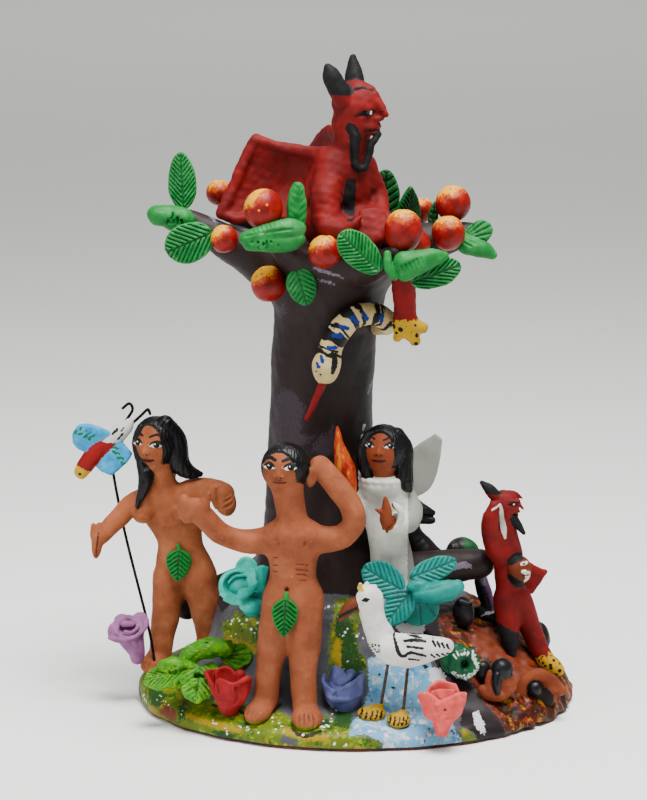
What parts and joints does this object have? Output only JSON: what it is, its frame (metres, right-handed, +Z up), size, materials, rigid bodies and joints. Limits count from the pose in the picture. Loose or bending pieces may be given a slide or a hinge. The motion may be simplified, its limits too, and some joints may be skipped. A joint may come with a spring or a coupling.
{
  "type": "clay figure group",
  "caption": "Hand-painted clay figure group: a tree on a flowered mound, with a seated horned figure, people, an angel, a snake, a crane, fruits and leaves.",
  "frame": {"origin": "centre of the mound's flat underside", "axes": "+Z up the tree trunk, -Y towards the front with the man, +X to the front view's right"},
  "size_m": [0.2132, 0.1593, 0.2758],
  "materials": {
    "bark_and_ground": "matte paint on fired clay, with painted grass, water and embers on the mound",
    "skin_light": "bare matte terracotta with painted face and hair",
    "skin_brown": "bare matte terracotta with painted face and hair",
    "robe_white": "matte white paint, pitted",
    "red_paint": "matte red paint with black details",
    "snake_cream": "matte cream paint with black bands and blue ovals",
    "flame_orange": "matte orange paint with yellow and red streaks",
    "leaf_green": "matte green paint, darker in the vein grooves",
    "leaf_turquoise": "satin turquoise paint",
    "leaf_lime": "satin yellow-green paint",
    "crane_white": "matte white paint with black strokes",
    "foot_yellow": "matte yellow paint with black spots",
    "iron_wire": "dark iron wire",
    "butterfly_blue": "matte blue paint with green stripes",
    "rose_lilac": "matte lilac paint",
    "rose_aqua": "matte aqua paint",
    "rose_red": "matte rose red paint",
    "rose_blue": "matte violet blue paint",
    "rose_coral": "matte coral pink paint",
    "coil_green": "matte green paint with white flecks",
    "fruit_red": "satin red paint with yellow tops",
    "black_paint": "satin black paint"
  },
  "bodies": {
    "root": {"tree_and_mound": "bark_and_ground", "man": "skin_light", "woman": "skin_brown", "angel": "robe_white", "horned_figure_in_tree": "red_paint", "horned_figure_standing": "red_paint", "snake": "snake_cream", "flame_sword": "flame_orange", "man_fig_leaf": "leaf_green", "woman_fig_leaf": "leaf_green", "crane": "crane_white", "crane_foot_left": "foot_yellow", "crane_foot_right": "foot_yellow", "crane_leg_left": "iron_wire", "crane_leg_right": "iron_wire", "butterfly": "butterfly_blue", "butterfly_stalk": "iron_wire", "antenna_left": "iron_wire", "antenna_right": "iron_wire", "rose_lilac": "rose_lilac", "rose_aqua": "rose_aqua", "rose_red": "rose_red", "rose_blue": "rose_blue", "rose_coral": "rose_coral", "leaf_cluster_turquoise": "leaf_turquoise", "leaf_cluster_green": "leaf_lime", "dark_dog": "black_paint", "dark_head_behind_root": "black_paint", "dark_head_under_root": "black_paint", "dark_figure_by_root": "black_paint", "dark_head_behind_leg": "black_paint", "dark_head_low": "black_paint", "crouching_figure": "skin_brown", "arched_figure": "skin_brown", "ring_coil": "coil_green", "fruit_1": "fruit_red", "fruit_2": "fruit_red", "fruit_3": "fruit_red", "fruit_4": "fruit_red", "fruit_5": "fruit_red", "fruit_6": "fruit_red", "fruit_7": "fruit_red", "fruit_8": "fruit_red", "fruit_9": "fruit_red", "fruit_10": "fruit_red", "crown_leaf_1": "leaf_green", "crown_leaf_2": "leaf_green", "crown_leaf_3": "leaf_green", "crown_leaf_4": "leaf_green", "crown_leaf_5": "leaf_green", "crown_leaf_6": "leaf_green", "crown_leaf_7": "leaf_green", "crown_leaf_8": "leaf_green", "crown_leaf_9": "leaf_green", "crown_leaf_10": "leaf_green", "crown_leaf_11": "leaf_green", "crown_leaf_12": "leaf_green", "crown_leaf_13": "leaf_green", "crown_leaf_14": "leaf_green"}
  },
  "joints": []
}
